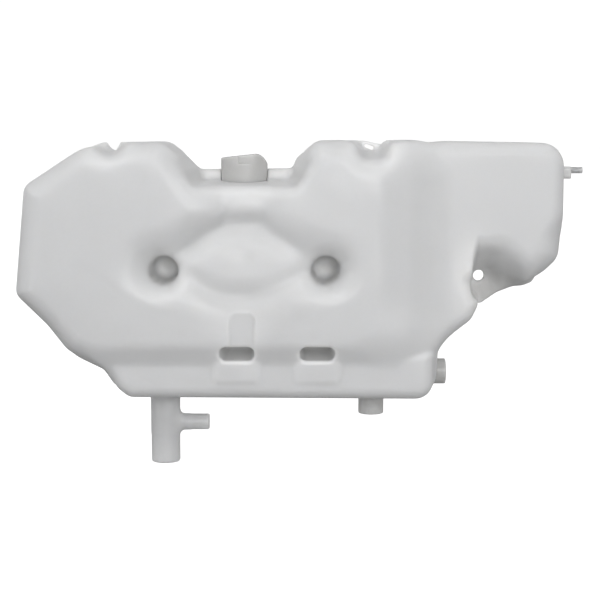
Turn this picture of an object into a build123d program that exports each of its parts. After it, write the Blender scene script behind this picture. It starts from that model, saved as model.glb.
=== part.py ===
from build123d import *
import math
import os

os.makedirs("parts", exist_ok=True)

# Coolant expansion tank, millimetres.
# Frame: +X to the right seen from the front, +Y towards the back, +Z up.
# Origin: centre of the bolt eye in the flange, in the moulding's parting plane.
# Outlines below are drawn in (X, Z); depths are measured from the parting plane,
# positive towards the front (towards -Y).

# ---------------------------------------------------------------- dimensions
WALL = 4.0                # moulded wall

LOBE_DEPTH = 85.0         # half depth of the two-lobed main chamber
SIDE_DEPTH = 57.0         # half depth of the set-back side chamber
SUMP_DEPTH = 72.0         # half depth of the sump along the bottom
LOBE_RIM = 24.0           # edge rounding of the main chamber
SIDE_RIM = 16.0           # edge rounding of the side chamber
SUMP_RIM = 9.0            # edge rounding of the sump

# main chamber outline: (X, Z, corner radius)
LOBES = [
    (-542.0, -16.0, 18.0), (-505.0, -51.5, 60.0), (-483.5, -80.5, 24.0),
    (-440.0, -105.0, 0.0), (-430.0, -122.0, 0.0), (-58.0, -122.0, 0.0),
    (-58.0, 160.5, 26.0), (-192.0, 160.5, 22.0), (-218.0, 139.5, 14.0),
    (-223.0, 127.8, 5.0), (-331.0, 126.8, 8.0), (-372.0, 158.8, 22.0),
    (-440.0, 158.3, 30.0), (-478.0, 144.5, 60.0), (-514.0, 119.8, 30.0),
    (-531.5, 108.5, 16.0),
]
# sloped band under the main chamber's front and back faces
BAND_Z = -73.5            # where the face ends and the band starts
BAND_SLOPE = 0.456        # how fast the band falls back, depth over height
BAND_CORNER = (-113.0, -19.5, 55.0, 1.2)   # X, Z, radius and slope at the right end

# side chamber, right flank and the body behind the band: (X, Z, corner radius)
SIDE = [
    (-498.0, -30.0, 0.0), (-498.0, -64.0, 19.0), (-474.0, -92.0, 30.0),
    (-444.0, -106.0, 10.0), (-430.0, -125.0, 0.0), (-62.0, -125.0, 0.0),
    (-57.0, -83.5, 8.0), (-13.0, -48.5, 16.0), (-4.0, -30.0, 14.0),
    (-9.0, 5.0, 40.0), (-6.0, 35.5, 16.0), (21.0, 35.5, 14.0),
    (46.0, -8.0, 17.0), (66.0, -6.0, 17.0), (88.0, 17.0, 22.0),
    (92.7, 55.0, 40.0), (92.7, 157.2, 21.0), (-60.0, 159.8, 0.0), (-150.0, 160.0, 0.0),
    (-150.0, -30.0, 0.0),
]
# the side chamber's underside is rounded from front to back: X from, Z, depth, radius
UNDER = (8.0, 38.0, 7.0, 48.5)
# sump outline: (X, Z, corner radius)
SUMP = [
    (-443.0, -80.0, 6.0), (-437.5, -103.0, 20.0), (-427.5, -126.0, 20.0),
    (-413.0, -137.8, 16.0), (-58.2, -140.0, 21.0), (-58.2, -80.0, 10.0),
]

# recess between the lobes, at the front face: (X, Z)
RECESS = [
    (-355, 190), (-356, 150), (-350, 128), (-338, 110), (-326, 96), (-319, 84),
    (-326, 75), (-340, 68), (-358, 58), (-378, 50), (-394, 40), (-402, 24), (-401, 6),
    (-392, -8), (-376, -16), (-350, -20), (-330, -33), (-305, -44), (-278, -47),
    (-252, -41), (-232, -27), (-214, -18), (-188, -16), (-168, -10), (-158, 4),
    (-157, 22), (-164, 38), (-180, 46), (-202, 52), (-221, 63), (-232, 74), (-233, 84),
    (-225, 97), (-213, 114), (-204, 132), (-202, 150), (-202, 190),
]
RECESS_FLOOR = 70.0       # depth of the raised centre of the recess
RECESS_IN = 8.0           # how far its side walls lean in down to that depth
# grooves above and below the raised centre: mid height, tube radius, tube depth
GROOVE_HI = (73.0, 11.0, 70.0)
GROOVE_LO = (-19.0, 9.0, 75.0)
# saddle between the lobes: a thin ridge, and a shelf before and behind it
RIDGE_HALF = 8.0          # half thickness of the ridge
SHELF = [(114.0, 8.0), (97.5, 94.0)]      # shelf, section in (Z, depth)
SADDLE_X = (-336.0, -221.5)

# deep dimples welded front to back
DIMPLE_X = (-371.5, -183.5)
DIMPLE_Z = 11.0
DIMPLE_MOUTH_R = 23.0
DIMPLE_END_R = 15.5
WELD = 3.0                # half thickness where the two halves are welded

# pockets in the step, with the pads below them
SLOT_X = (-285.7, -193.7)
SLOT_Z = -84.6
SLOT_W, SLOT_H, SLOT_R = 40.0, 17.4, 7.5
PAD_W, PAD_TOP, PAD_DEPTH = 50.0, -94.0, 73.0
CHANNEL_X = (-292.5, -267.3)
CHANNEL_D = 3.0

# lifting tabs in the tops of the lobes
TAB_X = (-431.0, -129.7)
TAB_W, TAB_FLOOR, TAB_R = 29.0, 137.0, 12.0
TAB_HALF = 3.5            # half thickness of the tab
TAB_FLARE = 5.0           # degrees
TAB_SLOT = (-131.5, 152.5, 11.5, 6.0, -24.0)    # X, Z, length, width, tilt
TAB_NOTCH = [(-440.5, 175.0), (-438.8, 152.0), (-431.0, 147.4), (-429.4, 147.6),
             (-422.9, 156.0), (-416.0, 175.0)]

# flange with the bolt eye
FLANGE = [(-16.0, -30.0), (2.6, -33.9), (39.4, -8.2), (60.0, -5.5),
          (60.0, 45.0), (-16.0, 45.0)]
FLANGE_HALF = 4.0
EYE_R = 6.5

# outlet pipe and its side branch, moulded with the tank
OUTLET_X, OUTLET_R, OUTLET_BORE, OUTLET_END = -376.0, 17.3, 14.1, -226.0
BRANCH_Z, BRANCH_R, BRANCH_BORE, BRANCH_END = -178.2, 9.6, 6.6, -323.1
SEAT_STEP = 0.4           # the hose seats end at a small shoulder
OUTLET_SEAT, BRANCH_SEAT = 34.0, 22.0     # lengths of the hose seats
ROOT_R = 5.0              # fillet where the outlet leaves the sump
BRANCH_ROOT_R = 3.5       # fillet where the branch leaves the outlet

# filler neck (moulded-in insert)
NECK_X, NECK_R, NECK_BORE = -279.5, 27.7, 21.1
NECK_TOP, NECK_BOTTOM = 142.0, 104.0
NECK_SEAT_Z, NECK_SEAT_R = 118.0, 18.0
NOTCH_W, NOTCH_H, NOTCH_D = 25.0, 10.5, 2.2
LIP_RISE = 2.2

# sensor bosses (moulded-in inserts)
SIDE_BOSS_Z, SIDE_BOSS_R, SIDE_BOSS_END = -116.3, 15.3, -38.5
LOW_BOSS_X, LOW_BOSS_R, LOW_BOSS_END = -127.8, 15.2, -167.4
BOSS_BORE = 9.25
BOSS_ROOT = 6.0           # length of boss held inside the wall

# vent nipple (moulded-in insert)
NIPPLE_Z, NIPPLE_R, NIPPLE_BORE, NIPPLE_END = 125.1, 3.9, 2.4, 121.9
NIPPLE_BASE_END, NIPPLE_BASE_LOW, NIPPLE_BASE_W = 108.0, 115.0, 14.0
NIPPLE_ROOT_R = 5.0       # spigot held in the wall


# ---------------------------------------------------------------- helpers
# Shapes are built in a working frame (x, y, z) = (X, Z, depth) and turned
# into the part's frame at the end.
def inset_corners(pts, d):
    """Corner points moved inwards by d; rounding follows the parallel curve."""
    n = len(pts)
    area = sum(pts[i - 1][0] * pts[i][1] - pts[i][0] * pts[i - 1][1] for i in range(n))
    sign = 1.0 if area > 0 else -1.0
    out = []
    for i in range(n):
        (ax, ay, _), (bx, by, r), (cx, cy, _) = pts[i - 1], pts[i], pts[(i + 1) % n]
        ux, uy = bx - ax, by - ay
        vx, vy = cx - bx, cy - by
        lu, lv = math.hypot(ux, uy), math.hypot(vx, vy)
        ux, uy, vx, vy = ux / lu, uy / lu, vx / lv, vy / lv
        # inward normals of the two sides
        nux, nuy, nvx, nvy = -uy * sign, ux * sign, -vy * sign, vx * sign
        k = d / (1.0 + nux * nvx + nuy * nvy)
        turn = (ux * vy - uy * vx) * sign
        if r > 0:
            r = max(r - d, 1.0) if turn > 0 else r + d
        out.append((bx + (nux + nvx) * k, by + (nuy + nvy) * k, r))
    return out


def outline(pts, inset=0.0):
    """Closed face with straight sides and rounded corners."""
    if abs(inset) > 1e-6:
        pts = inset_corners(pts, inset)
    n = len(pts)
    corner = []
    for i in range(n):
        (ax, ay, _), (bx, by, r), (cx, cy, _) = pts[i - 1], pts[i], pts[(i + 1) % n]
        ux, uy, vx, vy = ax - bx, ay - by, cx - bx, cy - by
        lu, lv = math.hypot(ux, uy), math.hypot(vx, vy)
        ux, uy, vx, vy = ux / lu, uy / lu, vx / lv, vy / lv
        half = math.acos(max(-1.0, min(1.0, ux * vx + uy * vy))) / 2
        if r <= 0 or half > math.radians(89.7):
            corner.append(((bx, by), None, (bx, by)))
            continue
        r = min(r, 0.49 * min(lu, lv) * math.tan(half))
        t = r / math.tan(half)
        mx, my = ux + vx, uy + vy
        lm = math.hypot(mx, my)
        k = (r / math.sin(half) - r) / lm
        corner.append(((bx + ux * t, by + uy * t), (bx + mx * k, by + my * k),
                       (bx + vx * t, by + vy * t)))
    edges = []
    for i in range(n):
        p, m, q = corner[i]
        if m:
            edges.append(Edge.make_three_point_arc((*p, 0), (*m, 0), (*q, 0)))
        nxt = corner[(i + 1) % n][0]
        if math.hypot(nxt[0] - q[0], nxt[1] - q[1]) > 1e-4:
            edges.append(Edge.make_line((*q, 0), (*nxt, 0)))
    return Face(Wire(edges))


def prism(face, z0, z1):
    s = extrude(face, amount=abs(z1 - z0), dir=(0, 0, 1))
    return Pos(0, 0, min(z0, z1)) * s


def slab(face, half, rim):
    s = prism(face, -half, half)
    if rim <= 0:
        return s
    g = s.edges().group_by(Axis.Z)
    return fillet(g[0] + g[-1], rim)


def rounded(w, h, r):
    return RectangleRounded(w, h, min(r, w / 2 - 0.1, h / 2 - 0.1))


def both(fn):
    a = fn()
    return a + mirror(a, about=Plane.XY)


def groove(mid, radius, depth):
    a = Vector(DIMPLE_X[0], DIMPLE_Z, depth)
    b = Vector((DIMPLE_X[0] + DIMPLE_X[1]) / 2, mid, depth)
    c = Vector(DIMPLE_X[1], DIMPLE_Z, depth)
    path = Edge.make_three_point_arc(a, b, c)
    plane = Plane(origin=path @ 0, z_dir=path % 0)
    return Solid.sweep(Face(Wire([Edge.make_circle(radius, plane)])), path)


def band_cut(t):
    """Region in front of the sloped band, and of its sweep round the right-hand corner."""
    k = t * math.hypot(1.0, BAND_SLOPE)
    d0, z0, z1 = LOBE_DEPTH + 30.0, BAND_Z, -175.0
    line = lambda z: LOBE_DEPTH - k - BAND_SLOPE * (BAND_Z - z)
    f = make_face(Polyline((0, z0 + 30.0 / BAND_SLOPE, line(z0 + 30.0 / BAND_SLOPE)),
                           (0, z1, line(z1)), (0, z1, d0), close=True))
    cut = Pos(-640, 0, 0) * extrude(f, amount=740.0, dir=(1, 0, 0))
    x, z, r, m = BAND_CORNER
    k = t * math.hypot(1.0, m)
    top, low = LOBE_DEPTH + 6.0, 40.0
    cone = Cone(r + (LOBE_DEPTH - k - low) / m, r + (LOBE_DEPTH - k - top) / m, top - low,
                align=(Align.CENTER, Align.CENTER, Align.MIN))
    quad = Pos(x, z, low) * Box(90, 130, top - low, align=(Align.MIN, Align.MAX, Align.MIN))
    return [cut, quad - Pos(x, z, low) * cone]


def under_cut(t):
    """Region below the side chamber's rounded underside."""
    x, z, d, r = UNDER
    box = Pos(x - t, z, d) * Box(120, 80, 80, align=(Align.MIN, Align.MAX, Align.MIN))
    rod = Pos(x - t - 5, z, d) * Rot(0, 90, 0) * Cylinder(r - t, 140, align=(Align.CENTER, Align.CENTER, Align.MIN))
    return box - rod


def shifted(pts, d):
    """Points of a closed counter-clockwise curve moved inwards by d."""
    out = []
    for i in range(len(pts)):
        (x0, y0), (x1, y1) = pts[i - 1], pts[(i + 1) % len(pts)]
        l = math.hypot(x1 - x0, y1 - y0)
        out.append((pts[i][0] - (y1 - y0) / l * d, pts[i][1] + (x1 - x0) / l * d))
    return out


def closed_curve(pts, z):
    return Wire([Edge.make_spline([Vector(x, y, z) for x, y in pts], periodic=True)])


def recess_cut(t):
    top = LOBE_DEPTH + 1.0
    cut = Solid.make_loft([closed_curve(shifted(RECESS, -t), top),
                           closed_curve(shifted(RECESS, RECESS_IN - t), RECESS_FLOOR - t)],
                          ruled=True)
    return [cut, groove(GROOVE_HI[0], GROOVE_HI[1] + t, GROOVE_HI[2]),
            groove(GROOVE_LO[0], GROOVE_LO[1] + t, GROOVE_LO[2])]


def saddle_cut(t):
    (z0, d0), (z1, d1) = SHELF
    d0 -= t
    pts = [(z0 - t, d0), (z1 - t, d1), (200.0, d1), (200.0, d0)]
    w = SADDLE_X[1] - SADDLE_X[0] + 2 * t
    f = make_face(Polyline(*[(0.0, z, d) for z, d in pts], close=True))
    return Pos(SADDLE_X[0] - t, 0, 0) * extrude(f, amount=w, dir=(1, 0, 0))


def dimple(x, t):
    end = WELD if t == 0 else -1.0
    h = LOBE_DEPTH + 1 - end
    c = Cone(DIMPLE_END_R + t, DIMPLE_MOUTH_R + t, h,
             align=(Align.CENTER, Align.CENTER, Align.MIN))
    return Pos(x, DIMPLE_Z, end) * c


def slot(x, t):
    f = rounded(SLOT_W + 2 * t, SLOT_H + 2 * t, SLOT_R + t)
    f = Pos(x, SLOT_Z) * f
    return prism(f, WELD if t == 0 else -1.0, LOBE_DEPTH + 10)


def tab_pocket(x, t):
    w, low = TAB_W / 2 + t, TAB_FLOOR - t
    f = outline([(x - w, low, TAB_R), (x + w, low, TAB_R), (x + w, 185.0, 0), (x - w, 185.0, 0)])
    cut = prism(f, -30.0, LOBE_DEPTH + 10)
    cut = Pos(0, low, TAB_HALF) * Rot(TAB_FLARE, 0, 0) * Pos(0, -low, -TAB_HALF) * cut
    z0 = TAB_HALF if t == 0 else -1.0
    return cut & Pos(x, 150.0, z0) * Box(80, 140, LOBE_DEPTH + 20,
                                         align=(Align.CENTER, Align.CENTER, Align.MIN))


def chamber(t):
    """The moulding's envelope (t = 0) or its hollow (t = wall)."""
    main = slab(outline(LOBES, t), LOBE_DEPTH - t, LOBE_RIM - t)
    for cut in band_cut(t):
        main -= cut
        main -= mirror(cut, about=Plane.XY)
    main -= both(lambda: saddle_cut(t))
    for cut in recess_cut(t):
        main -= cut
    side = slab(outline(SIDE, t), SIDE_DEPTH - t, SIDE_RIM - t)
    side -= both(lambda: under_cut(t))
    sump = slab(outline(SUMP, t), SUMP_DEPTH - t, SUMP_RIM - t)
    s = main + side + sump
    for x in SLOT_X:
        f = Pos(x, (PAD_TOP - 125.0) / 2) * Rectangle(PAD_W - 2 * t, PAD_TOP + 125.0 - 2 * t)
        s += prism(f, -(PAD_DEPTH - t), PAD_DEPTH - t)
    for x in DIMPLE_X:
        s -= both(lambda: dimple(x, t))
    for x in SLOT_X:
        s -= both(lambda: slot(x, t))
    for x in TAB_X:
        s -= both(lambda: tab_pocket(x, t))
    if t == 0:
        cx = sum(CHANNEL_X) / 2
        f = Pos(cx, -60.0) * Rectangle(CHANNEL_X[1] - CHANNEL_X[0], 31.0)
        s -= prism(f, LOBE_DEPTH - CHANNEL_D, LOBE_DEPTH + 5)
    return s


def to_part(s):
    return Rot(90, 0, 0) * s


def rod_z(x, r, z0, z1, y=0.0):
    return Pos(x, y, min(z0, z1)) * Cylinder(r, abs(z1 - z0), align=(Align.CENTER, Align.CENTER, Align.MIN))


def rod_x(z, r, x0, x1, y=0.0):
    return Pos(min(x0, x1), y, z) * Rot(0, 90, 0) * Cylinder(r, abs(x1 - x0), align=(Align.CENTER, Align.CENTER, Align.MIN))


# ---------------------------------------------------------------- tank body
shell = chamber(0.0)
hollow = chamber(WALL)
body = to_part(shell)
void = to_part(hollow)

# outlet pipe with its branch
SUMP_LOW = -138.1         # the sump's underside at the outlet
pipe = rod_z(OUTLET_X, OUTLET_R + SEAT_STEP, OUTLET_END + OUTLET_SEAT, SUMP_LOW + 6.0)
branch = rod_x(BRANCH_Z, BRANCH_R + SEAT_STEP, OUTLET_X, BRANCH_END - BRANCH_SEAT)
joint = pipe + branch
low = [e for e in joint.edges() if e.geom_type not in (GeomType.CIRCLE, GeomType.LINE)]
joint = fillet(low, BRANCH_ROOT_R)
joint += rod_z(OUTLET_X, OUTLET_R, OUTLET_END, OUTLET_END + OUTLET_SEAT + 2.0)
joint += rod_x(BRANCH_Z, BRANCH_R, BRANCH_END - BRANCH_SEAT - 2.0, BRANCH_END)
body += joint
# flare at the outlet's root
r0, z0 = OUTLET_R + SEAT_STEP, SUMP_LOW - 0.3
r1 = r0 + ROOT_R
k = ROOT_R * (1 - math.sqrt(0.5))
prof = Wire([
    Edge.make_line((r0 - 2, 0, z0 + 3), (r0 - 2, 0, z0 - ROOT_R)),
    Edge.make_line((r0 - 2, 0, z0 - ROOT_R), (r0, 0, z0 - ROOT_R)),
    Edge.make_three_point_arc((r0, 0, z0 - ROOT_R), (r0 + k, 0, z0 - k), (r1, 0, z0)),
    Edge.make_line((r1, 0, z0), (r1, 0, z0 + 3)),
    Edge.make_line((r1, 0, z0 + 3), (r0 - 2, 0, z0 + 3)),
])
body += Pos(OUTLET_X, 0, 0) * revolve(Face(prof), Axis.Z)

# flange and its eye
f = make_face(Polyline(*FLANGE, close=True))
body += to_part(prism(f, -FLANGE_HALF, FLANGE_HALF))

body -= void
body -= rod_z(OUTLET_X, OUTLET_BORE, OUTLET_END - 1, -130.0)
body -= rod_x(BRANCH_Z, BRANCH_BORE, OUTLET_X, BRANCH_END + 1)
body -= Rot(90, 0, 0) * Cylinder(EYE_R, 40)

# holes in the lifting tabs
x, z, l, w, a = TAB_SLOT
f = Pos(x, z) * Rot(0, 0, a) * SlotOverall(l, w)
body -= to_part(prism(f, -6, 6))
f = make_face(Polyline(*TAB_NOTCH, close=True))
body -= to_part(prism(f, -6, 6))

# seats for the moulded-in inserts
body -= rod_z(NECK_X, NECK_R, 90.0, 160.0)
body -= rod_x(SIDE_BOSS_Z, SIDE_BOSS_R, -75.0, -30.0)
body -= rod_z(LOW_BOSS_X, LOW_BOSS_R, -180.0, -125.0)
body -= rod_x(NIPPLE_Z, NIPPLE_ROOT_R, 80.0, 100.0)

# ---------------------------------------------------------------- filler neck
neck = rod_z(NECK_X, NECK_R, NECK_BOTTOM, NECK_TOP + LIP_RISE)
# bevelled rim; a shallow flat in it at the front and at the back
neck = chamfer(neck.edges().group_by(Axis.Z)[-1], 2.4)
neck -= rod_z(NECK_X, NECK_BORE, NECK_SEAT_Z, NECK_TOP + 20)
neck -= rod_z(NECK_X, NECK_SEAT_R, NECK_BOTTOM - 1, NECK_TOP + 20)
for sgn in (-1, 1):
    neck -= Pos(NECK_X, sgn * (NECK_R - NOTCH_D + 10), NECK_TOP + LIP_RISE - NOTCH_H / 2) * Box(NOTCH_W, 20, NOTCH_H)

# ---------------------------------------------------------------- bosses
side_boss = rod_x(SIDE_BOSS_Z, SIDE_BOSS_R, -58.0 - BOSS_ROOT, SIDE_BOSS_END)
side_boss -= rod_x(SIDE_BOSS_Z, BOSS_BORE, -80.0, 0.0)
low_boss = rod_z(LOW_BOSS_X, LOW_BOSS_R, LOW_BOSS_END, -139.6 + BOSS_ROOT)
low_boss -= rod_z(LOW_BOSS_X, BOSS_BORE, -200.0, -100.0)

# ---------------------------------------------------------------- vent nipple
x_wall = 92.7
base_h = NIPPLE_Z + NIPPLE_R - NIPPLE_BASE_LOW
base = Pos((x_wall + NIPPLE_BASE_END) / 2, 0, NIPPLE_BASE_LOW + base_h / 2) * Box(
    NIPPLE_BASE_END - x_wall, NIPPLE_BASE_W, base_h)
base = fillet(base.edges().filter_by(Axis.X), 3.6)
nipple = base + rod_x(NIPPLE_Z, NIPPLE_ROOT_R, x_wall - WALL - 2, x_wall)
nipple += rod_x(NIPPLE_Z, NIPPLE_R, x_wall, NIPPLE_END)
nipple = chamfer(nipple.edges().filter_by(GeomType.CIRCLE).sort_by(Axis.X)[-1], 0.7)
nipple -= rod_x(NIPPLE_Z, NIPPLE_BORE, 80.0, 130.0)

nodes = {
    "tank_body": body,
    "filler_neck": neck,
    "side_sensor_boss": side_boss,
    "bottom_sensor_boss": low_boss,
    "vent_nipple": nipple,
}
for name, shape in nodes.items():
    print(name, len(shape.solids()), round(shape.volume / 1000.0, 1), "cm3", shape.is_valid)
    export_step(shape, "parts/" + name + ".step")
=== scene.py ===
import math

import bpy
import numpy as np
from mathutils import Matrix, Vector


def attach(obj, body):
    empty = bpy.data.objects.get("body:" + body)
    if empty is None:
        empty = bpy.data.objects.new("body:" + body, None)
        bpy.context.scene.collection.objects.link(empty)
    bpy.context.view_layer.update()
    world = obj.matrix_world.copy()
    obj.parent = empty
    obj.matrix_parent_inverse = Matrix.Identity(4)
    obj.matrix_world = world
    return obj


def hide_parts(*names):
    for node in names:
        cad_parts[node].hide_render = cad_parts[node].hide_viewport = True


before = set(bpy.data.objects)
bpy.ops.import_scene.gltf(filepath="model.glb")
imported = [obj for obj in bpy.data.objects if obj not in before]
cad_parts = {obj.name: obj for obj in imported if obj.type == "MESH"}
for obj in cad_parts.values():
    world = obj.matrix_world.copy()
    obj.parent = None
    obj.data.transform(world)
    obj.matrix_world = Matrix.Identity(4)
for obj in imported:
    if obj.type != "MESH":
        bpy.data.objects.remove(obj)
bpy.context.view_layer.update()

# The moulding's visible surface is the zero level of one smooth field, so that every
# transition flows as blow-moulded plastic does. Shape code is in millimetres.
# ---- outlines in the part's (X, Z), millimetres: (X, Z, corner radius)
LOBES = [(-543.5, -17.0, 15.0), (-507.0, -53.0, 50.0), (-484.5, -82.0, 24.0),
         (-440.0, -105.0, 14.0), (-430.0, -122.0, 6.0), (-58.0, -122.0, 6.0),
         (-58.0, 160.5, 26.0), (-192.0, 160.5, 22.0), (-218.0, 139.5, 14.0),
         (-223.0, 127.8, 5.0), (-331.0, 126.8, 8.0), (-372.0, 158.8, 22.0),
         (-445.0, 158.3, 10.0), (-472.0, 147.4, 60.0), (-514.0, 119.8, 30.0),
         (-531.5, 108.5, 16.0)]
SIDE = [(-498.0, -30.0, 0.0), (-498.0, -64.0, 19.0), (-474.0, -92.0, 30.0),
        (-444.0, -106.0, 10.0), (-430.0, -125.0, 0.0), (-62.0, -125.0, 0.0),
        (-57.6, -83.5, 8.0), (-13.0, -48.5, 16.0), (-4.0, -30.0, 14.0),
        (-14.0, 0.0, 12.0), (-8.0, -6.0, 6.0), (51.0, -7.6, 9.0), (74.5, 8.0, 24.0), (90.0, 22.8, 24.0),
        (92.7, 55.0, 40.0), (92.7, 157.2, 27.0), (-40.0, 159.4, 0.0), (-150.0, 150.0, 0.0),
        (-150.0, -30.0, 0.0)]
SUMP = [(-443.0, -80.0, 6.0), (-437.5, -103.0, 20.0), (-427.5, -126.0, 20.0),
        (-413.0, -137.8, 16.0), (-58.0, -140.0, 21.0), (-58.0, -80.0, 10.0)]
FLANGE = [(-30.0, -30.0, 0), (2.6, -33.9, 3), (39.4, -8.2, 4), (60.0, -5.0, 0),
          (60.0, 45.0, 0), (-30.0, 45.0, 0)]
# edge of the recess between the lobes, where it leaves the front face
RECESS = [(-357.7, 183.5), (-357.9, 161.1), (-355.9, 133.0), (-342.5, 113.8), (-330.2, 96.9), (-320.1, 83.3), (-324.7, 76.5), (-337.2, 68.6), (-349.8, 58.3), (-363.5, 50.4), (-380.6, 45.8), (-394.4, 39.0), (-401.3, 27.6), (-402.7, 11.5), (-397.1, -3.4), (-384.7, -12.5), (-364.2, -17.1), (-347.1, -20.6), (-327.8, -34.4), (-314.1, -41.3), (-301.6, -46.5), (-282.1, -47.1), (-263.8, -44.8), (-245.5, -34.4), (-230.6, -25.2), (-216.9, -18.3), (-197.5, -17.1), (-179.2, -16.0), (-167.8, -10.2), (-160.4, 0.1), (-158.2, 13.8), (-161.1, 27.6), (-170.2, 37.8), (-183.9, 43.0), (-197.6, 45.8), (-210.1, 51.5), (-222.6, 60.6), (-231.6, 69.7), (-233.3, 81.0), (-224.8, 96.9), (-213.5, 113.8), (-202.2, 133.0), (-202.2, 161.1), (-202.2, 183.5)]
# edge of the raised lens in the recess
LENS = [(-345, 21), (-334, 33), (-322, 43), (-306, 49), (-280, 50), (-252, 50.5), (-236, 47.5),
        (-222, 38), (-208, 24), (-217, 4), (-234, -9), (-257, -15.5), (-282, -17), (-305, -15),
        (-326, -6), (-338, 6)]


def corners(pts, step=3.0):
    """Points along a closed outline with rounded corners."""
    n = len(pts)
    out = []
    for i in range(n):
        (ax, ay, _), (bx, by, r), (cx, cy, _) = pts[i - 1], pts[i], pts[(i + 1) % n]
        ux, uy, vx, vy = ax - bx, ay - by, cx - bx, cy - by
        lu, lv = math.hypot(ux, uy), math.hypot(vx, vy)
        ux, uy, vx, vy = ux / lu, uy / lu, vx / lv, vy / lv
        half = math.acos(max(-1.0, min(1.0, ux * vx + uy * vy))) / 2
        if r <= 0 or half > math.radians(89.7):
            out.append((bx, by))
            continue
        r = min(r, 0.49 * min(lu, lv) * math.tan(half))
        t = r / math.tan(half)
        mx, my = ux + vx, uy + vy
        lm = math.hypot(mx, my)
        cxx, cyy = bx + mx / lm * r / math.sin(half), by + my / lm * r / math.sin(half)
        a0 = math.atan2(by + uy * t - cyy, bx + ux * t - cxx)
        a1 = math.atan2(by + vy * t - cyy, bx + vx * t - cxx)
        da = (a1 - a0 + math.pi) % (2 * math.pi) - math.pi
        k = max(2, int(abs(da) * r / step) + 1)
        for j in range(k + 1):
            a = a0 + da * j / k
            out.append((cxx + r * math.cos(a), cyy + r * math.sin(a)))
    return np.array(out, float)


def spline(pts, m=8):
    """Closed Catmull-Rom curve through the points."""
    p = np.array(pts, float)
    n = len(p)
    t = np.linspace(0, 1, m, endpoint=False)[:, None]
    out = []
    for i in range(n):
        a, b, c, d = p[i - 1], p[i], p[(i + 1) % n], p[(i + 2) % n]
        out.append(0.5 * (2 * b + (c - a) * t + (2 * a - 5 * b + 4 * c - d) * t ** 2
                          + (3 * b - a - 3 * c + d) * t ** 3))
    return np.vstack(out)


def poly_sd(poly, x, z):
    """Signed distance to a closed polygon, negative inside."""
    shape = x.shape
    x, z = x.ravel(), z.ravel()
    best = np.full(x.shape, 1e18)
    inside = np.zeros(x.shape, bool)
    n = len(poly)
    for i in range(n):
        ax, az = poly[i]
        bx, bz = poly[(i + 1) % n]
        ex, ez = bx - ax, bz - az
        l2 = ex * ex + ez * ez
        if l2 < 1e-12:
            continue
        wx, wz = x - ax, z - az
        t = np.clip((wx * ex + wz * ez) / l2, 0.0, 1.0)
        dx, dz = wx - ex * t, wz - ez * t
        best = np.minimum(best, dx * dx + dz * dz)
        c = ((az <= z) & (z < bz)) | ((bz <= z) & (z < az))
        if ez != 0:
            inside ^= c & (wx < ex * wz / ez)
    d = np.sqrt(best)
    return np.where(inside, -d, d).reshape(shape)


def line_d(pts, x, z):
    """Distance to an open polyline."""
    best = np.full(x.shape, 1e18)
    for (ax, az), (bx, bz) in zip(pts[:-1], pts[1:]):
        ex, ez = bx - ax, bz - az
        t = np.clip(((x - ax) * ex + (z - az) * ez) / (ex * ex + ez * ez), 0, 1)
        dx, dz = x - ax - ex * t, z - az - ez * t
        best = np.minimum(best, dx * dx + dz * dz)
    return np.sqrt(best)


class Field:
    """A function of (X, Z) kept on a regular grid and read back bicubically."""
    X0, Z0, H, NX, NZ = -560.0, -245.0, 2.0, 341, 216

    def __init__(self, a):
        self.a = a

    @classmethod
    def grid(cls):
        xs = cls.X0 + cls.H * np.arange(cls.NX)
        zs = cls.Z0 + cls.H * np.arange(cls.NZ)
        return np.meshgrid(xs, zs, indexing="ij")

    @classmethod
    def outline(cls, poly):
        gx, gz = cls.grid()
        return cls(poly_sd(poly, gx, gz))

    def __call__(self, x, z):
        u = np.clip((x - self.X0) / self.H, 1.001, self.NX - 3.001)
        v = np.clip((z - self.Z0) / self.H, 1.001, self.NZ - 3.001)
        i, j = u.astype(np.int64), v.astype(np.int64)
        fu, fv = u - i, v - j
        wu = self.weights(fu)
        wv = self.weights(fv)
        flat = self.a.ravel()
        base = (i - 1) * self.NZ + (j - 1)
        out = 0.0
        for p in range(4):
            row = 0.0
            for q in range(4):
                row = row + wv[q] * flat[base + p * self.NZ + q]
            out = out + wu[p] * row
        return out

    @staticmethod
    def weights(t):
        t2, t3 = t * t, t * t * t
        # cubic B-spline: smooth to the second derivative
        return ((1 - 3 * t + 3 * t2 - t3) / 6, (4 - 6 * t2 + 3 * t3) / 6,
                (1 + 3 * t + 3 * t2 - 3 * t3) / 6, t3 / 6)


def smin(a, b, k):
    h = np.maximum(k - np.abs(a - b), 0.0) / k
    return np.minimum(a, b) - h * h * k * 0.25


def smax(a, b, k):
    h = np.maximum(k - np.abs(a - b), 0.0) / k
    return np.maximum(a, b) + h * h * k * 0.25


def slab(d2, y, half, rim):
    """Plate of the given outline field, half thickness and edge rounding."""
    u, v = d2 + rim, np.abs(y) - half + rim
    return np.hypot(np.maximum(u, 0), np.maximum(v, 0)) + np.minimum(np.maximum(u, v), 0) - rim


def rbox2(x, z, cx, cz, w, h, r):
    u, v = np.abs(x - cx) - w / 2 + r, np.abs(z - cz) - h / 2 + r
    return np.hypot(np.maximum(u, 0), np.maximum(v, 0)) + np.minimum(np.maximum(u, v), 0) - r


def step(x, a, b):
    t = np.clip((x - a) / (b - a), 0.0, 1.0)
    return t * t * (3 - 2 * t)


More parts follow.
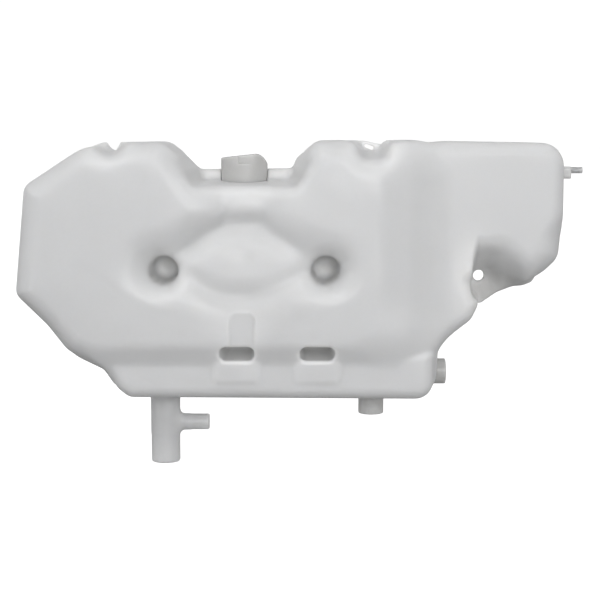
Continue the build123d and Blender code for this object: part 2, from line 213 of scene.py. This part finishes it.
class Tank:
    LOBE, SIDED, SUMPD = 85.0, 57.0, 72.0
    XC = -277.5          # plane of symmetry of the two lobes

    def __init__(self):
        F = Field.outline
        self.lobes = F(corners(LOBES))
        self.side = F(corners(SIDE))
        self.sump = F(corners(SUMP))
        self.flange = F(corners(FLANGE))
        self.recess = F(spline(RECESS))
        self.relief = Field(self.relief_grid())

    # depth of the recess's surface, measured from the parting plane
    def relief_grid(self):
        x, z = Field.grid()
        r = poly_sd(spline(RECESS), x, z)
        w = 30.0 - 2.0 * step(z, 15.0, 45.0) + 8.0 * step(z, 80.0, 100.0) + 9.0 * step(-z, -12.0, 12.0)
        t = -r / w
        u = np.clip(t, 0.0, 1.0)
        ramp = np.where(r > 0, t, 1 - (1 - u) ** 1.6 * (1 + 0.15 * u))
        floor = 67.5 + 0.10 * (70.0 - z)
        c = (85.0 - floor) * np.where(r > 0, t * 1.45, ramp)
        nose = 7.0 * step(z, 66.0, 84.0)
        lens = poly_sd(spline(LENS), x, z)
        wl = 12.0 + 16.0 * step(-z, -22.0, 5.0)
        amp = 8.2 - 0.0022 * np.minimum(z - 38.0, 0) ** 2
        # a shallow valley down the middle of the lens
        amp = amp - 2.2 * np.exp(-((x + 277.0) / 11.0) ** 2) * step(z, 8.0, 34.0)
        amp = amp - 1.5 * step(z, 20.0, 45.0)
        c = c - amp * step(-lens / wl, -0.15, 1.0) - nose * step(-r / w, 0.4, 1.2)
        inside = step(-r, 6.0, 22.0)
        c = c + 6.0 * np.exp(-((lens - 13.0) / 12.0) ** 2) * step(z, 15.0, 42.0) * inside
        c = c + 3.0 * np.exp(-((lens - 2.0) / 10.0) ** 2) * step(-z, -14.0, 8.0) * inside
        # blown plastic: no crisp line survives
        g = np.exp(-0.5 * (np.arange(-6, 7) * Field.H / 4.5) ** 2)
        g /= g.sum()
        for axis in (0, 1):
            pad = [(6, 6) if axis == k_ else (0, 0) for k_ in (0, 1)]
            p = np.pad(c, pad, mode="edge")
            n = c.shape[axis]
            c = sum(g[i] * (p[i:i + n] if axis == 0 else p[:, i:i + n]) for i in range(13))
        return 85.0 - c

    def front(self, x, d, z, f):
        """Cuts the recess of the front half out of the field f (d = depth)."""
        h = self.relief(x, z)
        cut = (d - h) * 0.85
        k = 4.0 + 12.0 * step(z, -25.0, 20.0)
        kk = np.maximum(k - np.abs(f - cut), 0.0) / k
        return np.maximum(f, cut) + kk * kk * k * 0.25

    def outer(self, x, y, z, flange=True):
        d = -y
        ad = np.abs(y)
        L = self.lobes(x, z)
        # the blown faces are a little crowned
        t = np.clip(1.0 + L / 70.0, 0.0, 1.0)
        crown = 4.5 * t * t
        main = slab(L, y, self.LOBE - crown, 26.0 + 10.0 * step(x, -120.0, -75.0))
        # sloped band under the lobes, swept up round the right-hand corner
        m = 0.56
        R = 22.0
        u, v = -73.5 - z + R, x + 98.0 + R
        s = np.hypot(np.maximum(u, 0), np.maximum(v, 0)) + np.minimum(np.maximum(u, v), 0) - R
        band = (ad - self.LOBE + m * s) / math.hypot(1, m)
        main = smax(main, band, 3.5 + 9.0 * step(x, -170.0, -105.0) + 13.0 * step(x, -150.0, -95.0) * step(z, -70.0, -20.0))
        # saddle: shelf in front of and behind the ridge that carries the neck
        lean = np.clip((22.0 - (135.0 - z) * 0.6) / 77.0, 0.0, 0.3) * (ad - 8.0)
        in_x = np.minimum(x + 330.0 + 1.3 * lean, -222.0 + lean - x)
        shelf = ((ad - 8.0) * 4.5 + (z - 113.5) * 47.0) / 47.3
        cut = smin(smin(shelf, ad - 8.0, 3.0), in_x, 8.0)
        main = smax(main, cut, 10.0)
        main = self.front(x, d, z, main)
        side = slab(self.side(x, z), y, self.SIDED, 16.0 + 16.0 * step(-z, -78.0, -45.0) * step(x, 20.0, 60.0))
        # the side chamber's underside slants back to the flange
        z0 = 8.0 - 19.0 * step(x, 6.0, 30.0)
        under = ((40.0 - z0) * (ad - 6.0) - 50.0 * (z - z0)) / np.hypot(40.0 - z0, 50.0)
        under = under - 36.0 * np.clip((x - 18.0) / 56.0, 0.0, 1.0) ** 1.5
        under = -20.0 + (np.maximum(under, -20.0) + 20.0) * step(x, -20.0, -4.0) * step(z, -32.0, -6.0)
        side = smax(side, under, 12.0)
        sump = slab(self.sump(x, z), y, self.SUMPD, 15.0)
        f = smin(main, side, 10.0 + 16.0 * step(-z, -150.0, -120.0) * step(x, -160.0, -100.0))
        f = smax(f, z - 162.0, 3.0)
        f = smin(f, sump, 2.5)
        # pads below the pockets
        for sx in (-286.5, -193.4):
            pad = slab(rbox2(x, z, sx, -106.0, 50.0, 24.0, 6.0), y, 73.0, 4.0)
            f = smin(f, pad, 6.0)
        # deep dimples, front and back
        for dx in (-371.5, -183.5):
            rr = np.hypot(x - dx, z - 11.0)
            rad = 14.5 + (ad - 3.0) * 4.0 / 82.0
            # one side of each mouth flares out more
            side_ = np.clip((x - dx) * (1.0 if dx > -277.5 else -1.0) / (rr + 1e-6), -1.0, 1.0)
            rad = rad + (6.0 + 5.0 * np.maximum(side_, 0.0)) * step(ad, 58.0, 90.0)
            dim = -smax(rr - rad, 3.0 - ad, 8.0)      # > 0 inside the cutter
            f = smax(f, dim, 14.0)
        # pockets in the band
        for sx in (-286.5, -193.4):
            draft = 3.2 * np.clip((80.0 - ad) / 77.0, 0.0, 1.0)
            c = -smax(rbox2(x, z, sx, -84.6, 40.5, 17.8, 7.7) + draft, 3.0 - ad, 5.0)
            f = smax(f, c, 3.0)
        # recesses of the lifting tabs
        for tx, hw, fall in ((-432.5, 9.0, 4.0), (-129.8, 12.5, 11.0)):
            floor = 148.6 - fall * (np.maximum(ad - 3.5, 0.0) / 75.0)
            half = hw + 0.05 * ad
            u, v = np.abs(x - tx) - half + 11.0, floor - z + 11.0
            c2 = np.hypot(np.maximum(u, 0), np.maximum(v, 0)) + np.minimum(np.maximum(u, v), 0) - 11.0
            c = np.minimum(-c2, ad - 3.5)
            k = 2.0 + 18.0 * step(ad, 4.0, 26.0)
            kk = np.maximum(k - np.abs(f - c), 0.0) / k
            f = np.maximum(f, c) + kk * kk * k * 0.25
        # the right tab's edge dips towards its slot
        dip = z - 160.4 + 4.2 * step(x, -142.0, -116.0) * (1.0 - step(x, -112.0, -103.0))
        dip = np.minimum(dip, 20.0 - np.abs(x + 124.0))
        f = smax(f, np.minimum(dip, 12.0 - ad), 1.5)
        # shallow channel in the lower front
        ch = np.minimum(-rbox2(x, z, -279.8, -60.0, 24.5, 40.0, 6.0), d - 83.3)
        f = smax(f, ch, 5.0)
        # outlet pipe and its branch
        pr = np.hypot(x + 376.0, y)
        pr = pr - 17.3 - 0.4 * step(z, -193.0, -191.0)
        pipe = self.capped(pr, np.maximum(-226.0 - z, z + 130.0), 0.6)
        br = np.hypot(z + 178.2, y)
        br = br - 9.6 - 0.4 * step(-x, 344.0, 346.0)
        branch = self.capped(br, np.maximum(x + 323.1, -376.0 - x), 0.5)
        pb = smin(pipe, branch, 7.0)
        f = smin(f, pb, 14.0)
        if flange:
            fl = slab(self.flange(x, z), y, 4.0, 1.5)
            k = 6.0 + 16.0 * np.maximum(step(x, 4.0, 32.0), step(z, 9.0, 30.0))
            kk = np.maximum(k - np.abs(f - fl), 0.0) / k
            f = np.minimum(f, fl) - kk * kk * k * 0.25
        return f

    @staticmethod
    def capped(a, b, r):
        u, v = a + r, b + r
        return np.hypot(np.maximum(u, 0), np.maximum(v, 0)) + np.minimum(np.maximum(u, v), 0) - r

    def holes(self, x, y, z, f):
        """Eye, the right tab's slot and the left tab's notch."""
        f = smax(f, 6.5 - np.hypot(x, z), 1.2)
        # oblong slot in the right tab
        a = math.radians(-21.0)
        ux, uz = x + 131.5, z - 152.5
        p, q = ux * math.cos(a) + uz * math.sin(a), -ux * math.sin(a) + uz * math.cos(a)
        cap = np.hypot(np.maximum(np.abs(p) - 3.7, 0), q) - 2.15
        f = smax(f, -np.maximum(cap, np.abs(y) - 6), 1.0)
        # open notch in the left tab
        n = self.notch(x, z)
        f = smax(f, -np.maximum(n, np.abs(y) - 6), 1.0)
        return f

    def notch(self, x, z):
        poly = corners([(-470.0, 172.0, 0), (-434.6, 147.3, 1.5), (-432.0, 147.3, 1.5),
                        (-426.8, 156.4, 1), (-424.0, 180.0, 0)], 1.0)
        out = np.full(x.shape, 30.0)
        near = (np.abs(x + 430) < 40) & (z > 120)
        if near.any():
            out[near] = poly_sd(poly, x[near], z[near])
        return out

    def full(self, x, y, z):
        return self.holes(x, y, z, self.outer(x, y, z))


def surface_nets(f, origin, h):
    """Quads of the zero surface of a field on a regular grid."""
    nx, ny, nz = f.shape
    s = f < 0
    cells = np.zeros((nx - 1, ny - 1, nz - 1), np.uint8)
    for i in (0, 1):
        for j in (0, 1):
            for k in (0, 1):
                cells += s[i:nx - 1 + i, j:ny - 1 + j, k:nz - 1 + k]
    active = (cells > 0) & (cells < 8)
    idx = -np.ones(active.shape, np.int64)
    ai, aj, ak = np.nonzero(active)
    idx[ai, aj, ak] = np.arange(len(ai))
    acc = np.zeros((len(ai), 3))
    cnt = np.zeros(len(ai))
    corner = [(0, 0, 0), (1, 0, 0), (0, 1, 0), (1, 1, 0), (0, 0, 1), (1, 0, 1), (0, 1, 1), (1, 1, 1)]
    vals = [f[ai + a, aj + b, ak + c] for a, b, c in corner]
    for p in range(8):
        for q in range(p + 1, 8):
            dlt = np.array(corner[q]) - np.array(corner[p])
            if np.abs(dlt).sum() != 1:
                continue
            cross = (vals[p] < 0) != (vals[q] < 0)
            t = np.where(cross, vals[p] / np.where(cross, vals[p] - vals[q], 1), 0)
            for ax in range(3):
                acc[:, ax] += np.where(cross, corner[p][ax] + t * dlt[ax], 0)
            cnt += cross
    v = acc / cnt[:, None]
    v = (v + np.stack([ai, aj, ak], 1)) * h + np.array(origin)
    quads = []
    # edges along x
    for axis in range(3):
        if axis == 0:
            a, b = s[:-1, 1:-1, 1:-1], s[1:, 1:-1, 1:-1]
        elif axis == 1:
            a, b = s[1:-1, :-1, 1:-1], s[1:-1, 1:, 1:-1]
        else:
            a, b = s[1:-1, 1:-1, :-1], s[1:-1, 1:-1, 1:]
        e = a != b
        i, j, k = np.nonzero(e)
        flip = a[i, j, k]
        if axis == 0:
            j, k = j + 1, k + 1
            q = np.stack([idx[i, j - 1, k - 1], idx[i, j, k - 1], idx[i, j, k], idx[i, j - 1, k]], 1)
        elif axis == 1:
            i, k = i + 1, k + 1
            q = np.stack([idx[i - 1, j, k - 1], idx[i - 1, j, k], idx[i, j, k], idx[i, j, k - 1]], 1)
        else:
            i, j = i + 1, j + 1
            q = np.stack([idx[i - 1, j - 1, k], idx[i, j - 1, k], idx[i, j, k], idx[i - 1, j, k]], 1)
        q = np.where(flip[:, None], q, q[:, ::-1])
        quads.append(q)
    return v, np.vstack(quads)


def gradient(fn, v, e=0.25):
    x, y, z = v[:, 0], v[:, 1], v[:, 2]
    gx = fn(x + e, y, z) - fn(x - e, y, z)
    gy = fn(x, y + e, z) - fn(x, y - e, z)
    gz = fn(x, y, z + e) - fn(x, y, z - e)
    return np.stack([gx, gy, gz], 1) / (2 * e)


def project(fn, v, n=2, cap=1.5):
    for _ in range(n):
        g = gradient(fn, v)
        f = fn(v[:, 0], v[:, 1], v[:, 2])
        g2 = np.maximum((g * g).sum(1), 0.05)
        stepv = -(f / g2)[:, None] * g
        l = np.linalg.norm(stepv, axis=1, keepdims=True)
        stepv *= np.minimum(1.0, cap / np.maximum(l, 1e-9))
        v = v + stepv
    return v


def relax(v, quads, fn, rounds=2, amount=0.5):
    n = len(v)
    a = quads.ravel()
    b = np.roll(quads, -1, axis=1).ravel()
    for _ in range(rounds):
        acc = np.zeros_like(v)
        cnt = np.bincount(a, minlength=n) + np.bincount(b, minlength=n)
        for ax in range(3):
            acc[:, ax] = np.bincount(a, v[b, ax], n) + np.bincount(b, v[a, ax], n)
        v = v + amount * (acc / np.maximum(cnt, 1)[:, None] - v)
        v = project(fn, v, 1)
    return v


def evaluate(fn, lo, hi, h, chunk=12):
    nx, ny, nz = [int(math.ceil((b - a) / h)) + 1 for a, b in zip(lo, hi)]
    ys = lo[1] + h * np.arange(ny)
    zs = lo[2] + h * np.arange(nz)
    out = np.empty((nx, ny, nz))
    for i in range(0, nx, chunk):
        xs = lo[0] + h * np.arange(i, min(i + chunk, nx))
        X, Y, Z = np.meshgrid(xs, ys, zs, indexing="ij")
        out[i:i + len(xs)] = fn(X.ravel(), Y.ravel(), Z.ravel()).reshape(X.shape)
    return out


# ------------------------------------------------------------------ meshes
def evaluate_near(fn, lo, hi, h, block=8, slope=1.45):
    """The field on a grid; blocks far from the surface get only their centre's value."""
    n = [int(math.ceil((b - a) / h / block)) * block + 1 for a, b in zip(lo, hi)]
    nb = [(k - 1) // block for k in n]
    ctr = [l + h * block * (np.arange(k) + 0.5) for l, k in zip(lo, nb)]
    X, Y, Z = np.meshgrid(*ctr, indexing="ij")
    c = fn(X.ravel(), Y.ravel(), Z.ravel()).reshape(X.shape)
    reach = slope * h * block * math.sqrt(3) / 2 + 3.0
    out = np.repeat(np.repeat(np.repeat(c, block, 0), block, 1), block, 2)
    out = np.pad(out, ((0, 1), (0, 1), (0, 1)), mode="edge")
    near = np.argwhere(np.abs(c) < reach)
    g = np.arange(block + 1)
    gx, gy, gz = np.meshgrid(g, g, g, indexing="ij")
    for s in range(0, len(near), 400):
        part = near[s:s + 400]
        ix = part[:, 0, None] * block + gx.ravel()[None]
        iy = part[:, 1, None] * block + gy.ravel()[None]
        iz = part[:, 2, None] * block + gz.ravel()[None]
        v = fn((lo[0] + h * ix).ravel(), (lo[1] + h * iy).ravel(), (lo[2] + h * iz).ravel())
        out[ix.ravel(), iy.ravel(), iz.ravel()] = v
    return out


def field_mesh(name, fn, lo, hi, h, rounds=2, block=8):
    f = evaluate_near(fn, lo, hi, h, block)
    v, q = surface_nets(f, lo, h)
    v = project(fn, v, 2, cap=0.8 * h)
    v = relax(v, q, fn, rounds, 0.5)
    v = project(fn, v, 1, cap=0.5 * h)
    n = gradient(fn, v, 0.3)
    n /= np.maximum(np.linalg.norm(n, axis=1, keepdims=True), 1e-9)
    me = bpy.data.meshes.new(name)
    me.vertices.add(len(v))
    me.vertices.foreach_set("co", (v * 0.001).astype(np.float32).ravel())
    me.loops.add(q.size)
    me.loops.foreach_set("vertex_index", q.ravel().astype(np.int32))
    me.polygons.add(len(q))
    me.polygons.foreach_set("loop_start", (np.arange(len(q)) * 4).astype(np.int32))
    me.polygons.foreach_set("loop_total", np.full(len(q), 4, np.int32))
    me.update(calc_edges=True)
    me.validate()
    me.polygons.foreach_set("use_smooth", np.ones(len(me.polygons), bool))
    o = bpy.data.objects.new(name, me)
    bpy.context.scene.collection.objects.link(o)
    return o, v, n


def thinned(o, weight, ratio):
    """Fewer triangles where weight is high; the shape stays within a fraction of a millimetre."""
    g = o.vertex_groups.new(name="thin")
    for w in np.unique(weight):
        g.add(np.nonzero(weight == w)[0].tolist(), float(w), "REPLACE")
    m = o.modifiers.new("thin", "DECIMATE")
    m.ratio, m.vertex_group, m.vertex_group_factor = ratio, "thin", 4.0
    dg = bpy.context.evaluated_depsgraph_get()
    me = bpy.data.meshes.new_from_object(o.evaluated_get(dg))
    o.modifiers.clear()
    o.vertex_groups.clear()
    old = o.data
    o.data = me
    bpy.data.meshes.remove(old)
    return o


tank = Tank()
BODY_STEP = 2.2
WALL = 4.4


def shell(x, y, z):
    """The moulding: its envelope less the hollow, bores and seats of the inserts."""
    out = tank.outer(x, y, z)
    bare = tank.outer(x, y, z, False)
    inner = bare + WALL
    # more wall beside the eye and at the left notch, where the outside turns sharply
    inner = inner + 10.0 * np.exp(-((x + 10.0) / 19.0) ** 2 - ((z - 2.0) / 34.0) ** 2)
    inner = inner + 5.0 * np.exp(-((x + 434.0) / 12.0) ** 2 - ((z - 156.0) / 12.0) ** 2)
    # the pipes are bored and not hollowed with the wall
    pipes = np.minimum(np.hypot(x + 376.0, y) - 24.0, np.hypot(z + 178.2, y) - 14.0)
    low = np.maximum(z + 140.0, 0.0)
    inner = np.where(z < -134.0, np.maximum(inner, -134.0 - z), inner)
    f = np.maximum(out, -inner)
    f = smax(f, -np.maximum(np.hypot(x + 376.0, y) - 14.1, z + 125.0), 1.2)
    f = smax(f, -np.maximum(np.hypot(z + 178.2, y) - 6.6, -376.0 - x), 0.8)
    f = tank.holes(x, y, z, f)
    # seats of the moulded-in fittings
    f = np.maximum(f, -np.maximum(np.hypot(x + 279.5, y) - 27.7, np.abs(z - 125.0) - 35.0))
    f = np.maximum(f, -np.maximum(np.hypot(z + 116.3, y) - 15.3, np.abs(x + 52.5) - 22.5))
    f = np.maximum(f, -np.maximum(np.hypot(x + 127.8, y) - 15.2, np.abs(z + 152.5) - 27.5))
    f = np.maximum(f, -np.maximum(np.hypot(z - 125.1, y) - 5.0, np.abs(x - 90.0) - 10.0))
    return f


LO, HI = (-550.0, -92.0, -232.0), (100.0, 92.0, 170.0)
body, v, n = field_mesh("tank_moulding", shell, LO, HI, BODY_STEP)
# the inner skin is seen only through the neck and the pipes, so it needs fewer triangles
deep = tank.outer(v[:, 0], v[:, 1], v[:, 2], False) < -1.5
near_port = (np.hypot(v[:, 0] + 279.5, v[:, 1]) < 32) & (v[:, 2] > 85)
weight = np.where(deep & ~near_port, 1.0, 0.06)
tris = 2 * len(body.data.polygons)
print("moulding", len(v), "points", tris, "triangles,", int(deep.sum()), "inside")
thinned(body, weight, min(1.0, 194000.0 / tris))
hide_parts("tank_body")
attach(body, "root")


# ------------------------------------------------------------------ fittings
def ring(rad, a, b, r):
    """Solid of revolution's section: inside radius rad and between a and b, edges rounded by r."""
    return Tank.capped(rad, np.maximum(a, b), r)


def neck_field(x, y, z):
    rad = np.hypot(x + 279.5, y)
    # the bayonet rim stands highest right of the middle
    u = x + 279.5
    top = 144.5 - 0.11 * np.maximum(13.0 - u, 0.0) - 0.05 * np.maximum(u - 13.0, 0.0) ** 2
    f = ring(rad - 27.7, 104.0 - z, z - top, 1.6)
    # shoulder and cap seat inside
    f = smax(f, -np.maximum(rad - 21.1, 118.0 - z), 1.0)
    f = smax(f, -(rad - 18.0), 0.8)
    # flats in the rim, front and back
    u = np.abs(x + 274.5) - 11.0
    w = 25.5 - np.abs(y)
    t = 133.2 - z
    f = smax(f, -np.maximum(np.maximum(u, w), t), 1.2)
    return f


def side_boss_field(x, y, z):
    rad = np.hypot(z + 116.3, y)
    f = ring(rad - 15.3, -64.0 - x, x + 38.5, 1.4)
    mouth = np.maximum(rad - 9.25 - np.clip((x + 40.3) * 1.0, 0.0, 2.0), -1e3)
    return smax(f, -mouth, 0.5)


def low_boss_field(x, y, z):
    rad = np.hypot(x + 127.8, y)
    f = ring(rad - 15.2, z + 133.6, -167.4 - z, 1.4)
    mouth = rad - 9.25 - np.clip(-165.6 - z, 0.0, 2.0)
    return smax(f, -mouth, 0.5)


def nipple_field(x, y, z):
    rad = np.hypot(z - 125.1, y)
    u, w = np.abs(y) - 7.0, np.abs(z - 122.0) - 7.0
    blk = np.hypot(np.maximum(u + 3.6, 0), np.maximum(w + 3.6, 0)) + np.minimum(np.maximum(u + 3.6, w + 3.6), 0) - 3.6
    blk = Tank.capped(blk, np.maximum(92.75 - x, x - 108.0), 1.0)
    tube = Tank.capped(rad - 3.9, np.maximum(92.0 - x, x - 121.9), 0.6)
    tube = np.minimum(tube, Tank.capped(rad - 5.0, np.maximum(86.7 - x, x - 92.7), 0.4))
    f = smin(blk, tube, 1.6)
    f = np.where(x < 93.5, np.minimum(blk, tube), f)
    return smax(f, -(rad - 2.4), 0.4)


FINE = 0.9
fittings = []
for name, node, fn, lo, hi, h in (
        ("filler_neck_moulding", "filler_neck", neck_field, (-310, -31, 101), (-249, 31, 148), FINE * 1.1),
        ("side_boss_moulding", "side_sensor_boss", side_boss_field, (-67, -18, -134), (-36, 18, -98), FINE * 0.8),
        ("low_boss_moulding", "bottom_sensor_boss", low_boss_field, (-146, -18, -170), (-110, 18, -131), FINE * 0.8),
        ("vent_nipple_moulding", "vent_nipple", nipple_field, (84, -9, 112), (125, 9, 132), FINE * 0.5)):
    o, _, _ = field_mesh(name, fn, tuple(float(c) for c in lo), tuple(float(c) for c in hi), h, 2, 8)
    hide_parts(node)
    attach(o, "root")
    print(name, 2 * len(o.data.polygons), "triangles")
    fittings.append(o)


# ------------------------------------------------------------------ materials
def plastic(name, shade, rough, mottle, seam_and_painted_light):
    """Natural moulded polyethylene: waxy, slightly translucent, faint flow marks and a satin skin; with the last flag
    set it also adds the mould parting line and patches of painted shade and painted glow.
    """
    m = bpy.data.materials.new(name)
    m.use_nodes = True
    nt = m.node_tree
    nt.nodes.clear()
    N = nt.nodes.new
    L = nt.links.new
    out = N("ShaderNodeOutputMaterial")
    b = N("ShaderNodeBsdfPrincipled")
    L(b.outputs["BSDF"], out.inputs["Surface"])
    co = N("ShaderNodeTexCoord").outputs["Object"]

    def noise(scale, detail, rough_, dist=0.0):
        t = N("ShaderNodeTexNoise")
        t.inputs["Scale"].default_value = scale
        t.inputs["Detail"].default_value = detail
        t.inputs["Roughness"].default_value = rough_
        t.inputs["Distortion"].default_value = dist
        L(co, t.inputs["Vector"])
        return t.outputs["Fac"]

    def spread(src, a, b_, c, d):
        r = N("ShaderNodeMapRange")
        for k, val in (("From Min", a), ("From Max", b_), ("To Min", c), ("To Max", d)):
            r.inputs[k].default_value = val
        L(src, r.inputs["Value"])
        return r.outputs["Result"]

    def math_node(op, p, q):
        n_ = N("ShaderNodeMath")
        n_.operation = op
        for i, val in enumerate((p, q)):
            if isinstance(val, float):
                n_.inputs[i].default_value = val
            else:
                L(val, n_.inputs[i])
        return n_.outputs[0]

    # colour: wall thickness clouds, fine speckle of the grain
    cloud = noise(9.0, 3.0, 0.5, 0.4)
    grain = noise(420.0, 2.0, 0.6)
    tone = math_node("ADD", spread(cloud, 0.3, 0.7, -mottle, mottle), spread(grain, 0.3, 0.7, -0.006, 0.006))
    tone = math_node("ADD", tone, shade)
    if seam_and_painted_light:
        def painted_patch(cx, cz, rx, rz, near, far, value):
            """A soft-edged patch of painted shade (value below zero) or painted glow (above zero) round (cx, cz), the
            same on the front and the back.
            """
            vm = N("ShaderNodeVectorMath")
            vm.operation = "SUBTRACT"
            L(co, vm.inputs[0])
            vm.inputs[1].default_value = (cx, 0.0, cz)
            vs = N("ShaderNodeVectorMath")
            vs.operation = "MULTIPLY"
            L(vm.outputs[0], vs.inputs[0])
            vs.inputs[1].default_value = (1.0 / rx, 0.0, 1.0 / rz)
            ln = N("ShaderNodeVectorMath")
            ln.operation = "LENGTH"
            L(vs.outputs[0], ln.inputs[0])
            return spread(ln.outputs["Value"], near, far, value, 0.0)
        # painted light: a faint emission in the two pockets lightens them, standing in for light coming through the
        # thin wall there
        painted_pocket_glow = math_node("ADD", painted_patch(-0.2865, -0.0846, 0.0225, 0.0115, 0.85, 1.15, 0.036),
                         painted_patch(-0.1934, -0.0846, 0.0225, 0.0115, 0.85, 1.15, 0.030))
        b.inputs["Emission Color"].default_value = (1.0, 1.0, 0.99, 1.0)
        L(painted_pocket_glow, b.inputs["Emission Strength"])
        # painted shade: the base colour is darkened under the side chamber, over the flange and its web, where shadow
        # falls
        tone = math_node("ADD", tone, painted_patch(0.021, -0.012, 0.036, 0.030, 0.55, 1.25, -0.26))
        # painted shade: darker base colour over the lower groove and over the top of the lens in the recess, where
        # shade falls
        tone = math_node("ADD", tone, painted_patch(-0.272, -0.027, 0.075, 0.024, 0.6, 1.4, -0.065))
        tone = math_node("ADD", tone, painted_patch(-0.280, 0.047, 0.055, 0.016, 0.5, 1.5, -0.05))
        # painted shade: darker base colour over the strip of the ridge that carries the neck, which lies in shade
        # between the lobes
        tone = math_node("ADD", tone, painted_patch(-0.277, 0.1215, 0.066, 0.0115, 0.7, 1.2, -0.15))
    mix = N("ShaderNodeCombineColor")
    L(tone, mix.inputs[0])
    L(math_node("MULTIPLY", tone, 0.998), mix.inputs[1])
    L(math_node("MULTIPLY", tone, 0.990), mix.inputs[2])
    L(mix.outputs[0], b.inputs["Base Color"])
    # skin: satin with slightly duller and glossier patches
    r = math_node("ADD", spread(noise(24.0, 4.0, 0.6), 0.3, 0.7, -0.05, 0.05), rough)
    L(r, b.inputs["Roughness"])
    b.inputs["IOR"].default_value = 1.5
    b.inputs["Specular IOR Level"].default_value = 0.42
    b.inputs["Subsurface Weight"].default_value = 1.0
    b.inputs["Subsurface Radius"].default_value = (1.0, 0.98, 0.94)
    b.inputs["Subsurface Scale"].default_value = 0.016
    # relief of the skin: slow waves of the blown wall, fine orange peel, mould parting line
    wave = noise(16.0, 2.0, 0.45)
    peel = noise(900.0, 2.0, 0.5)
    h = math_node("ADD", math_node("MULTIPLY", wave, 0.0009), math_node("MULTIPLY", peel, 0.000016))
    if seam_and_painted_light:
        sep = N("ShaderNodeSeparateXYZ")
        L(co, sep.inputs[0])
        d = math_node("ABSOLUTE", sep.outputs["Y"], 0.0)
        line = spread(d, 0.0, 0.0011, 0.00035, 0.0)
        line.node.interpolation_type = "SMOOTHSTEP"
        h = math_node("ADD", h, line)
    bump = N("ShaderNodeBump")
    bump.inputs["Strength"].default_value = 0.5
    bump.inputs["Distance"].default_value = 1.0
    L(h, bump.inputs["Height"])
    L(bump.outputs["Normal"], b.inputs["Normal"])
    return m


tank_mat = plastic("natural_polyethylene", 0.84, 0.40, 0.010, True)
# painted shade: the inserts are the same natural polyethylene as the body; their lower base tones stand in for the
# shade each sits in
insert_mats = [plastic("natural_insert_" + n_, c_, 0.36, 0.008, False)
               for n_, c_ in (("neck", 0.51), ("side_boss", 0.51), ("low_boss", 0.61), ("nipple", 0.67))]
body.data.materials.clear()
body.data.materials.append(tank_mat)
for o, m in zip(fittings, insert_mats):
    o.data.materials.clear()
    o.data.materials.append(m)
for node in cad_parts.values():
    node.data.materials.clear()
    node.data.materials.append(tank_mat if node.name == "tank_body" else insert_mats[0])

# ------------------------------------------------------------------ camera
TARGET = Vector((-0.21347, 0.0, -0.03026))
DIST, ELEV = 1.768, math.radians(6.5)
cam = bpy.data.cameras.new("camera")
cam_ob = bpy.data.objects.new("camera", cam)
bpy.context.scene.collection.objects.link(cam_ob)
cam_ob.location = TARGET + Vector((0.0, -DIST * math.cos(ELEV), DIST * math.sin(ELEV)))
cam_ob.rotation_euler = (math.pi / 2 - ELEV, 0.0, 0.0)
cam.sensor_width = 36.0
cam.lens = 1473.0 * 36.0 / 600.0
cam.clip_start, cam.clip_end = 0.05, 100.0
bpy.context.scene.camera = cam_ob

# ------------------------------------------------------------------ floor and light
floor_me = bpy.data.meshes.new("floor")
R = 30.0
floor_me.from_pydata([(-R, -R, -0.2268), (R, -R, -0.2268), (R, R, -0.2268), (-R, R, -0.2268)], [], [(0, 1, 2, 3)])
floor = bpy.data.objects.new("floor", floor_me)
bpy.context.scene.collection.objects.link(floor)
fm = bpy.data.materials.new("pale_floor")
fm.use_nodes = True
p = fm.node_tree.nodes["Principled BSDF"]
p.inputs["Base Color"].default_value = (0.86, 0.86, 0.86, 1.0)
p.inputs["Roughness"].default_value = 0.9
p.inputs["Specular IOR Level"].default_value = 0.1
p.inputs["Emission Color"].default_value = (1.0, 1.0, 1.0, 1.0)
p.inputs["Emission Strength"].default_value = 0.80
floor_me.materials.append(fm)
floor.visible_diffuse = False
floor.visible_glossy = False

world = bpy.data.worlds.new("studio")
bpy.context.scene.world = world
world.use_nodes = True
wt = world.node_tree
wt.nodes.clear()
wo = wt.nodes.new("ShaderNodeOutputWorld")
bg = wt.nodes.new("ShaderNodeBackground")
wt.links.new(bg.outputs[0], wo.inputs[0])
tc = wt.nodes.new("ShaderNodeTexCoord")
sp = wt.nodes.new("ShaderNodeSeparateXYZ")
wt.links.new(tc.outputs["Generated"], sp.inputs[0])
ramp = wt.nodes.new("ShaderNodeValToRGB")
wt.links.new(sp.outputs["Z"], ramp.inputs["Fac"])
mr = wt.nodes.new("ShaderNodeMapRange")
mr.inputs["From Min"].default_value = -1.0
mr.inputs["From Max"].default_value = 1.0
wt.links.new(sp.outputs["Z"], mr.inputs["Value"])
wt.links.new(mr.outputs["Result"], ramp.inputs["Fac"])
els = ramp.color_ramp.elements
els[0].position, els[0].color = 0.0, (0.27, 0.27, 0.27, 1)
els[1].position, els[1].color = 1.0, (0.40, 0.40, 0.40, 1)
for pos, val in ((0.47, 0.30), (0.494, 1.04), (0.552, 1.04), (0.58, 0.52)):
    e = els.new(pos)
    e.color = (val, val, val, 1)
wt.links.new(ramp.outputs["Color"], bg.inputs["Color"])
bg.inputs["Strength"].default_value = 1.0


def area(name, loc, target, size, power):
    d = bpy.data.lights.new(name, "AREA")
    d.shape = "RECTANGLE"
    d.size, d.size_y = size
    d.energy = power
    o = bpy.data.objects.new(name, d)
    bpy.context.scene.collection.objects.link(o)
    o.location = loc
    o.rotation_euler = (Vector(target) - Vector(loc)).to_track_quat("-Z", "Y").to_euler()
    o.visible_camera = False
    return o


area("key", (-0.85, -1.25, 1.60), (-0.22, 0.0, 0.0), (1.3, 1.0), 11.5)
area("front", (0.10, -2.25, 0.48), (-0.15, 0.0, 0.05), (0.9, 0.7), 18.3)

sc = bpy.context.scene
sc.view_settings.view_transform = "Standard"
sc.view_settings.look = "None"
sc.view_settings.exposure = 0.0
sc.view_settings.gamma = 1.0
